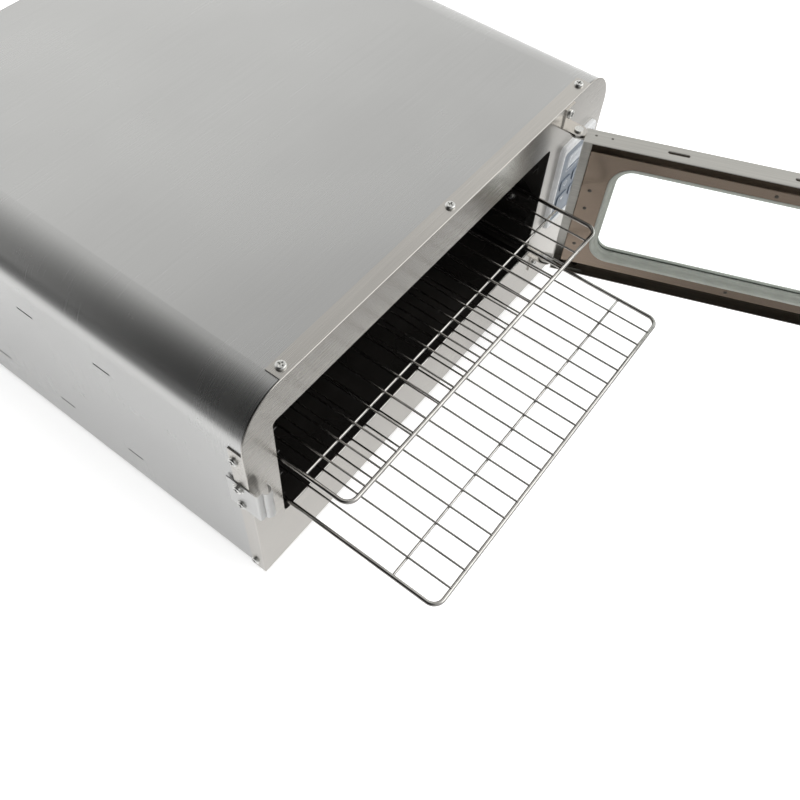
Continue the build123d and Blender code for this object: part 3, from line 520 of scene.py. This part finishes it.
class DEHYDRATOR_OT_racks(bpy.types.Operator):
    """Build the two welded wire racks from wire and weld beads"""

    bl_idname = "dehydrator.racks"
    bl_label = "Wire racks"

    def execute(self, context):
        looks = context.scene.dehydrator_racks
        chrome = Finish("wire_chrome", Metallic=1.0)
        point = chrome.place()
        ripple = chrome.noise(point * 55.0, 3.0, 0.6)
        draw = chrome.noise(point * 900.0, 2.0, 0.5)
        tone = ripple.ramp(0.3, 0.7).between(tint(looks.chrome, 0.78), tint(looks.chrome, 1.08))
        rough = 0.12 + ripple * 0.10 + draw * 0.04
        relief = chrome.bump(draw + ripple, 0.25, 0.00004)
        plated = chrome.set(Base_Color=tone, Roughness=rough, Normal=relief)
        weld = bright_steel("weld_chrome", tint(looks.chrome, 0.8), 0.26, 1400.0)
        for rack, seed in (("upper_rack", 7), ("lower_rack", 11)):
            self.build(rack, looks, plated, weld, random.Random(seed))
        return {"FINISHED"}

    def build(self, rack, looks, plated, weld, chance):
        """One rack: the frame loop, the depth wires, the cross bars and the welds."""
        low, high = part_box(f"{rack}_frame")
        radius = (high.z - low.z) / 2
        level = (high.z + low.z) / 2
        inset = Vector((radius, radius, 0))
        loop = [(x, y, level) for x, y in rounded_loop(low + inset, high - inset, looks.corner)]
        data = tube_curve(f"{rack}_frame_wire", [loop], radius, closed=True)
        piece = put(f"{rack}_frame_wire", data, plated, rack)
        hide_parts(f"{rack}_frame")

        wires = loose_boxes(f"{rack}_wires")
        bars = loose_boxes(f"{rack}_crossbars")
        thin = (wires[0][1].x - wires[0][0].x) / 2
        thick = (bars[0][1].y - bars[0][0].y) / 2
        steps = 12
        runs = []
        for start, end in wires:
            x = (start.x + end.x) / 2
            z = (start.z + end.z) / 2
            run = []
            for step in range(steps + 1):
                stray = 0.0 if step in (0, steps) else chance.uniform(-1, 1) * looks.drift
                run.append((x + stray, start.y + (end.y - start.y) * step / steps, z))
            runs.append(run)
        data = tube_curve(f"{rack}_depth_wires", runs, thin)
        piece = put(f"{rack}_depth_wires", data, plated, rack)
        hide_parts(f"{rack}_wires")

        middles = [((a.y + b.y) / 2, (a.z + b.z) / 2) for a, b in bars]
        runs = [[(a.x, y, z), (b.x, y, z)] for (a, b), (y, z) in zip(bars, middles)]
        data = tube_curve(f"{rack}_cross_bars", runs, thick)
        piece = put(f"{rack}_cross_bars", data, plated, rack)
        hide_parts(f"{rack}_crossbars")

        # Each weld: its middle, and its share of a full bead.
        welds = []
        for run_start, run_end in wires:
            x = (run_start.x + run_end.x) / 2
            z = (run_start.z + run_end.z) / 2
            for y, z_bar in middles:
                welds.append(((x, y, (z + z_bar) / 2), 0.75))
            for y in (run_start.y, run_end.y):
                welds.append(((x, y, z - thin * 0.5), 1.0))
        for (start, end), (y, z) in zip(bars, middles):
            welds += [((start.x, y, z), 1.1), ((end.x, y, z), 1.1)]
        bm = bmesh.new()
        for place, share in welds:
            size = looks.bead * share
            stretch = Vector((1.0 + chance.random() * 0.3, 1.0 + chance.random() * 0.3, 0.7)) * size
            turn = Euler((0, 0, chance.random() * math.pi)).to_matrix().to_4x4()
            shape = Matrix.Translation(place) @ turn @ Matrix.Diagonal((*stretch, 1.0))
            made = bmesh.ops.create_icosphere(bm, subdivisions=2, radius=1.0, matrix=shape)
            for vert in made["verts"]:
                vert.co += (vert.co - Vector(place)) * chance.uniform(-0.10, 0.08)
        put(f"{rack}_welds", mesh_from(f"{rack}_welds", bm), weld, rack)


class DEHYDRATOR_OT_door(bpy.types.Operator):
    """Finish the door's trays, window, handle and hinge plates"""

    bl_idname = "dehydrator.door"
    bl_label = "Door"

    def execute(self, context):
        looks = context.scene.dehydrator_door
        turn = (tuple(hinge), -door_angle)
        skin = grained_steel("door_skin_steel", looks.skin, 0.30, (14, 1500, 1500), turn=turn, contrast=0.18)
        dress(skin, "door_skin", "upper_hinge_tab", "lower_hinge_tab")
        # The pan's brown base colour is a painted reflection of warm colours, not the steel's own tone.
        pan = grained_steel(
            "door_pan_steel_painted_reflection", looks.pan, 0.24, (14, 1700, 1700), turn=turn, contrast=0.16, cloud=0.14
        )
        dress(pan, "door_inner_pan")
        bar_steel = grained_steel("handle_steel", tint(looks.skin, 1.2), 0.22, (900, 900, 22), turn=turn)
        dress(bar_steel, "door_handle")
        self.glaze(looks)
        seal = moulding("glass_tape_foam", tint(looks.gasket, 0.9), 0.8, 2500.0)
        dress(seal, "glass_tape")
        return {"FINISHED"}

    def glaze(self, looks):
        """The pane: clear, faintly green, with a few wiping marks."""
        glass = Finish("window_glass", IOR=1.5, Transmission_Weight=1.0)
        point = glass.place()
        wipes = glass.noise(point * (9.0, 9.0, 40.0), 4.0, 0.6).ramp(0.5, 0.8)
        tone = wipes.between(looks.glass, tint(looks.glass, 0.97))
        glass.set(Base_Color=tone, Roughness=wipes * 0.03 + 0.002)
        dress(glass.material, "door_glass")


class DEHYDRATOR_OT_gasket(bpy.types.Operator):
    """Build the moulded gasket round the door's window"""

    bl_idname = "dehydrator.gasket"
    bl_label = "Window gasket"

    def execute(self, context):
        looks = context.scene.dehydrator_door
        low, high = shut_box("door_gasket")
        top = looks.lip_height
        face = high.y - top
        drop = face - low.y
        # The CAD gasket's lip reaches cad_lip past the window's edge; this one reaches lip.
        cad_lip = 3.6 * MM
        lip = 1.2 * MM
        # Section: distance in from the window's edge, and height over the pan's face.
        section = [
            (-lip, 0.0), (-lip + 0.15 * MM, top * 0.55), (-lip + 0.4 * MM, top * 0.92),
            (-lip + 0.8 * MM, top), (0.9 * MM, top), (1.6 * MM, top * 0.85), (2.2 * MM, top * 0.3),
            (2.7 * MM, -0.6 * MM), (3.05 * MM, -1.8 * MM), (3.3 * MM, -3.2 * MM), (3.7 * MM, -4.0 * MM),
            (4.4 * MM, -4.25 * MM), (5.5 * MM, -4.3 * MM), (6.1 * MM, -4.6 * MM), (6.45 * MM, -5.3 * MM),
            (6.5 * MM, -drop), (0.25 * MM, -drop), (0.25 * MM, 0.0),
        ]
        bm = bmesh.new()
        rings = []
        for inset, height in section:
            radius = looks.corner - inset
            start = Vector((low.x + cad_lip + inset, low.z + cad_lip + inset, 0))
            end = Vector((high.x - cad_lip - inset, high.z - cad_lip - inset, 0))
            outline = rounded_loop(start, end, radius, 14)
            rings.append([bm.verts.new(door_turn @ Vector((x, face + height, z))) for x, z in outline])
        count = len(rings[0])
        for ring, following in zip(rings, rings[1:] + rings[:1]):
            for i in range(count):
                j = (i + 1) % count
                bm.faces.new((ring[i], ring[j], following[j], following[i]))
        gasket = moulding("gasket_rubber", looks.gasket, 0.5, 1200.0, mottle=0.05, Specular_IOR_Level=0.4)
        piece = put("window_gasket", mesh_from("window_gasket", bm), gasket, "door")
        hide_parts("door_gasket")
        return {"FINISHED"}


class DEHYDRATOR_OT_control_panel(bpy.types.Operator):
    """Finish the control panel and print its symbols"""

    bl_idname = "dehydrator.control_panel"
    bl_label = "Control panel"
    key_caps = ("power_key", "timer_key", "temp_down_key", "temp_up_key")

    def execute(self, context):
        looks = context.scene.dehydrator_panel
        dress(moulding("bezel_plastic", looks.bezel, 0.28, 1800.0, 0.00001, 0.03), "control_bezel")
        dress(self.film(looks), "control_overlay")
        dress(moulding("key_film", looks.keys, 0.34, 1600.0, 0.00001, 0.05), *self.key_caps)
        pane = moulding("display_pane", looks.display, 0.12, 900.0, 0.000004, 0.06, Coat_Weight=0.5)
        dress(pane, "display_window")
        marks = moulding("panel_ink", looks.marks, 0.45, 2200.0, 0.00001, 0.04)
        faint = moulding("display_segments", tint(looks.display, 0.88), 0.2, 2000.0, 0.00001, 0.04)
        thick = looks.print_height
        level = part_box("control_overlay")[0].y - thick
        self.film_print(level, thick, marks)
        self.segments(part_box("display_window"), level + thick, faint)
        for key in self.key_caps:
            low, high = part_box(key)
            bm = bmesh.new()
            x, z = (low.x + high.x) / 2, (low.z + high.z) / 2
            for outline, hole in getattr(self, key)(x, z):
                flat_shape(bm, outline, low.y - thick, thick, hole)
            put(f"{key}_symbol", mesh_from(f"{key}_symbol", bm, False), marks, key)
        return {"FINISHED"}

    def film(self, looks):
        """Printed film: a fine dot screen over faint patches."""
        film = Finish("overlay_film")
        point = film.place()
        dots = film.speckle(point * 2600.0).ramp(0.2, 0.5)
        patches = film.noise(point * 40.0, 3.0, 0.5)
        tone = dots.between(tint(looks.overlay, 0.94), tint(looks.overlay, 1.06))
        colour = patches.ramp(0.3, 0.7).between(tone, looks.overlay)
        rough = 0.30 + patches * 0.12
        return film.set(Base_Color=colour, Roughness=rough, Normal=film.bump(dots, 0.1, 0.00001))

    def film_print(self, level, thick, marks):
        """A thin frame round the display, and a row of ticks under each key."""
        bm = bmesh.new()
        low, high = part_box("display_window")
        out, near = 1.3 * MM, 0.9 * MM
        outer = rounded_bar(low.x - out, high.x + out, low.z - out, high.z + out, 1.6 * MM)
        inner = rounded_bar(low.x - near, high.x + near, low.z - near, high.z + near, 1.2 * MM)
        flat_shape(bm, outer, level, thick, inner)
        tick_pitch, half, foot, head = 2.2 * MM, 0.7 * MM, 8.6 * MM, 8.1 * MM
        for key in self.key_caps:
            a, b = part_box(key)
            x, z = (a.x + b.x) / 2, (a.z + b.z) / 2
            for n in (-1, 0, 1):
                tick = x + n * tick_pitch
                flat_shape(bm, bar(tick - half, tick + half, z - foot, z - head), level, thick)
        put("panel_print", mesh_from("panel_print", bm, False), marks, "cabinet")

    def segments(self, box, level, material):
        """Four unlit seven-segment figures in the display's opening, level with the film's front."""
        low, high = box
        bm = bmesh.new()
        wide, tall, thick = 3.9 * MM, 8.0 * MM, 0.7 * MM
        pitch, parting, gap, sheet = 6.2 * MM, 0.8 * MM, thick * 0.7, 0.03 * MM
        middle_x, middle_z = (low.x + high.x) / 2, (low.z + high.z) / 2
        for n in range(4):
            x = middle_x + (n - 1.5) * pitch + (-parting if n < 2 else parting)
            left, right = x - wide / 2, x + wide / 2
            for z in (-tall / 2, 0.0, tall / 2):
                z += middle_z
                stroke = bar(left + gap, right - gap, z - thick / 2, z + thick / 2)
                flat_shape(bm, stroke, level, sheet)
            for side in (left, right):
                for start, end in ((-tall / 2, 0.0), (0.0, tall / 2)):
                    foot, head = middle_z + start + gap, middle_z + end - gap
                    stroke = bar(side - thick / 2, side + thick / 2, foot, head)
                    flat_shape(bm, stroke, level, sheet)
        for z in (-1.8 * MM, 1.8 * MM):
            flat_shape(bm, arc(middle_x, middle_z + z, 0.5 * MM, steps=16), level, sheet)
        put("display_figures", mesh_from("display_figures", bm, False), material, "cabinet")

    def power_key(self, x, z):
        """A broken ring and a stroke."""
        width = 0.7 * MM
        yield band(x, z, 2.9 * MM, width, 120, 420), None
        yield bar(x - width / 2, x + width / 2, z + 0.6 * MM, z + 3.9 * MM), None

    def timer_key(self, x, z):
        """A clock face."""
        width = 0.6 * MM
        yield arc(x, z, 3.4 * MM), arc(x, z, 3.4 * MM - width)
        yield bar(x - width / 2, x + width / 2, z - 0.2 * MM, z + 2.3 * MM), None
        yield bar(x + width / 2, x + 1.9 * MM, z - 0.2 * MM, z + width - 0.2 * MM), None

    def temp_down_key(self, x, z):
        """An arrow head, point down."""
        yield [(x - 3.0 * MM, z + 1.6 * MM), (x, z - 2.0 * MM), (x + 3.0 * MM, z + 1.6 * MM)], None

    def temp_up_key(self, x, z):
        """An arrow head, point up."""
        yield [(x - 3.0 * MM, z - 1.6 * MM), (x + 3.0 * MM, z - 1.6 * MM), (x, z + 2.0 * MM)], None


class DEHYDRATOR_OT_air_drive(bpy.types.Operator):
    """Finish the fan, its motor and the heater"""

    bl_idname = "dehydrator.air_drive"
    bl_label = "Fan and heater"

    def execute(self, context):
        blades = grained_steel("fan_sheet", (0.66, 0.66, 0.67), 0.34, (500, 60, 500), contrast=0.12)
        dress(blades, "fan_impeller")
        black = moulding("motor_black", (0.02, 0.02, 0.02), 0.45, 700.0)
        dress(black, "fan_motor", "thermal_cutout", "display_module")
        sheath = Finish("heater_oxide", Metallic=1.0)
        point = sheath.place()
        heat = sheath.noise(point * 55.0, 4.0, 0.6)
        scale = sheath.noise(point * 1500.0, 2.0, 0.5)
        tone = heat.ramp(0.35, 0.7).between((0.10, 0.085, 0.08), (0.27, 0.19, 0.13))
        relief = sheath.bump(scale, 0.3, 0.00003)
        dress(sheath.set(Base_Color=tone, Roughness=0.42 + scale * 0.2, Normal=relief), "heater_element")
        return {"FINISHED"}


class DEHYDRATOR_OT_electrics(bpy.types.Operator):
    """Finish the boards and the mains inlet"""

    bl_idname = "dehydrator.electrics"
    bl_label = "Electrics"

    def execute(self, context):
        board = Finish("solder_mask", Coat_Weight=0.3)
        point = board.place()
        settings = {"distance": "MANHATTAN", "feature": "F2"}
        inputs = {"Vector": point * 260.0, "Scale": 1.0}
        tracks = board.add("ShaderNodeTexVoronoi", settings, inputs)
        pads = board.speckle(point * 340.0).ramp(0.10, 0.14, 1.0, 0.0)
        green = tracks.ramp(0.55, 0.62).between((0.012, 0.085, 0.035), (0.022, 0.14, 0.06))
        tone = pads.between(green, (0.55, 0.53, 0.47))
        relief = board.bump(tracks, 0.2, 0.00005)
        rough = 0.38 - pads * 0.12
        material = board.set(Base_Color=tone, Roughness=rough, Metallic=pads * 0.8, Normal=relief)
        dress(material, "control_board", "power_board")
        dress(moulding("inlet_black", (0.022, 0.022, 0.022), 0.42, 1100.0), "power_inlet")
        return {"FINISHED"}


class DEHYDRATOR_OT_feet(bpy.types.Operator):
    """Finish the rubber feet"""

    bl_idname = "dehydrator.feet"
    bl_label = "Feet"

    def execute(self, context):
        looks = context.scene.dehydrator_cabinet
        dress(moulding("foot_rubber_black", looks.rubber, 0.75, 1300.0, 0.00004, 0.2), "rubber_feet")
        return {"FINISHED"}


class DEHYDRATOR_OT_stage(bpy.types.Operator):
    """Lay the floor and set the surroundings, the lights and the camera"""

    bl_idname = "dehydrator.stage"
    bl_label = "Stage"

    def execute(self, context):
        looks = context.scene.dehydrator_studio
        self.lay_floor(looks)
        self.surround(context.scene)
        self.light(looks)
        self.aim(context.scene, looks)
        context.scene.view_settings.view_transform = "Standard"
        return {"FINISHED"}

    def lay_floor(self, looks):
        """A wide round floor, pale to the camera. It glows faintly, which lifts the shadows on it, and shows
        the metal a painted darker floor to its left and in front.
        """
        bm = bmesh.new()
        rings = []
        steps, level = 96, -0.3 * MM
        for radius in (0.6, 1.2, 2.4, 5.0, 9.0):
            rings.append([bm.verts.new((x, y, level)) for x, y in arc(0.0, 0.0, radius, steps=steps)])
        bm.faces.new(rings[0])
        for inner, outer in zip(rings, rings[1:]):
            for i in range(steps):
                j = (i + 1) % steps
                bm.faces.new((inner[i], inner[j], outer[j], outer[i]))
        paper = Finish("floor_paper", Specular_IOR_Level=0.2)
        tooth = paper.noise(paper.place() * 120.0, 3.0, 0.5)
        tone = tooth.between(tint(looks.floor, 0.995), tint(looks.floor, 1.005))
        # Painted reflection: to mirror rays the floor is painted darker to the cabinet's left and in front,
        # so the metal mirrors it brightest beside the cabinet.
        glossy = paper.add("ShaderNodeLightPath", None, None, "Is Glossy Ray")
        through = paper.add("ShaderNodeLightPath", None, None, "Is Transmission Ray")
        mirror = glossy * (1.0 - through)
        point = paper.place()
        share = point.dot((1.0, 0.0, 0.0)).ramp(-0.82, -0.50, 0.12, 1.0)
        share = share * point.dot((0.0, 1.0, 0.0)).ramp(-0.48, -0.24, 0.34, 1.0)
        mirrored = share.between((0.0, 0.0, 0.0), tone)
        glow = share.between((0.03, 0.03, 0.03), (0.24, 0.24, 0.24))
        # Painted light: the floor glows at 0.5 to every ray but mirror rays, lifting the shadows on it;
        # mirror rays see a glow that follows the painted darkening.
        shadow_lifting_glow = mirror.between((0.50, 0.50, 0.50), glow)
        base = mirror.between(tone, mirrored)
        paper.set(Base_Color=base, Roughness=0.9, Emission_Color=shadow_lifting_glow, Emission_Strength=1.0)
        floor = bpy.data.objects.new("studio_floor", mesh_from("studio_floor", bm))
        bpy.context.scene.collection.objects.link(floor)
        floor.data.materials.append(paper.material)

    def surround(self, scene):
        """What the metal mirrors, and the plain pale backdrop that the camera sees.

        There is a bright wall behind on the right, a bright patch above the front, and an even
        dim light from everywhere else but above the left.
        """
        world = bpy.data.worlds.new("studio")
        world.use_nodes = True
        scene.world = world
        nodes = Nodes(world.node_tree)
        way = nodes.add("ShaderNodeTexCoord", None, None, "Generated")
        behind = way.dot((0.441, 0.880, -0.170)).ramp(-0.014, 0.778, 0.02, 1.05)
        right = way.dot((0.95, 0.0, 0.30)).ramp(0.55, 0.90, 0.0, 0.9)
        front = way.dot((0.45, -0.60, 0.66)).ramp(0.84, 0.95, 0.0, 1.4)
        around = way.dot((-0.75, 0.32, 0.58)).ramp(0.45, 0.78, 0.45, 0.0)
        glow = behind.most(right).most(around) + front
        seen = nodes.add("ShaderNodeLightPath", None, None, "Is Camera Ray")
        bright = nodes.scaled((1.0, 1.0, 0.985), glow)
        room = seen.between(bright, (0.9, 0.9, 0.9))
        background = world.node_tree.nodes["Background"]
        nodes.feed(background.inputs["Color"], room)

    def light(self, looks):
        """Large lights that fill the matt surfaces and aren't mirrored in the metal."""
        for name, place, size, power in (
            ("overhead_light", (0.1, 0.1, 3.2), 4.0, looks.overhead),
            ("front_light", (-1.6, -2.4, 2.2), 2.4, looks.overhead * 0.3),
        ):
            data = bpy.data.lights.new(name, "AREA")
            data.shape = "SQUARE"
            data.size = size
            data.energy = power
            lamp = bpy.data.objects.new(name, data)
            lamp.location = place
            lamp.rotation_mode = "QUATERNION"
            lamp.rotation_quaternion = (Vector((0, -0.05, 0.1)) - Vector(place)).to_track_quat("-Z", "Y")
            lamp.visible_glossy = False
            bpy.context.scene.collection.objects.link(lamp)

    def aim(self, scene, looks):
        """The camera, above the front left corner."""
        data = bpy.data.cameras.new("camera")
        data.lens = looks.focal
        data.sensor_width = 36.0
        data.clip_start = 0.01
        camera = bpy.data.objects.new("camera", data)
        right = Vector((0.60224, -0.79707, 0.04442))
        up = Vector((0.64729, 0.52013, 0.55720))
        ahead = Vector((0.46724, 0.30682, -0.82919))
        eye = Vector((-0.46127, -0.51048, 0.76878))
        turn = Matrix((right, up, -ahead)).transposed().to_4x4()
        camera.matrix_world = Matrix.Translation(eye) @ turn
        scene.collection.objects.link(camera)
        scene.camera = camera


class DEHYDRATOR_PT_pieces(bpy.types.Panel):
    """Buttons for each group of pieces, and their settings"""

    bl_idname = "DEHYDRATOR_PT_pieces"
    bl_label = "Food dehydrator"
    bl_space_type = "VIEW_3D"
    bl_region_type = "UI"
    bl_category = "Dehydrator"

    def draw(self, context):
        for operator in OPERATORS:
            self.layout.operator(operator.bl_idname)
        for group, owner in GROUPS.items():
            box = self.layout.box()
            settings = getattr(context.scene, group)
            for name in owner.__annotations__:
                box.prop(settings, name)


OPERATORS = (
    DEHYDRATOR_OT_cabinet, DEHYDRATOR_OT_chamber, DEHYDRATOR_OT_fasteners, DEHYDRATOR_OT_racks,
    DEHYDRATOR_OT_door, DEHYDRATOR_OT_gasket, DEHYDRATOR_OT_control_panel, DEHYDRATOR_OT_air_drive,
    DEHYDRATOR_OT_electrics, DEHYDRATOR_OT_feet, DEHYDRATOR_OT_stage,
)
GROUPS = {
    "dehydrator_cabinet": CabinetLooks,
    "dehydrator_door": DoorLooks,
    "dehydrator_racks": RackLooks,
    "dehydrator_panel": PanelLooks,
    "dehydrator_studio": StudioLooks,
}


def register():
    for group, owner in GROUPS.items():
        bpy.utils.register_class(owner)
        setattr(bpy.types.Scene, group, bpy.props.PointerProperty(type=owner))
    for owner in (*OPERATORS, DEHYDRATOR_PT_pieces):
        bpy.utils.register_class(owner)


def unregister():
    for owner in (DEHYDRATOR_PT_pieces, *reversed(OPERATORS)):
        bpy.utils.unregister_class(owner)
    for group, owner in GROUPS.items():
        delattr(bpy.types.Scene, group)
        bpy.utils.unregister_class(owner)


def main():
    """Builds every piece in order."""
    register()
    for operator in OPERATORS:
        family, name = operator.bl_idname.split(".")
        getattr(getattr(bpy.ops, family), name)()


if __name__ == "__main__":
    main()
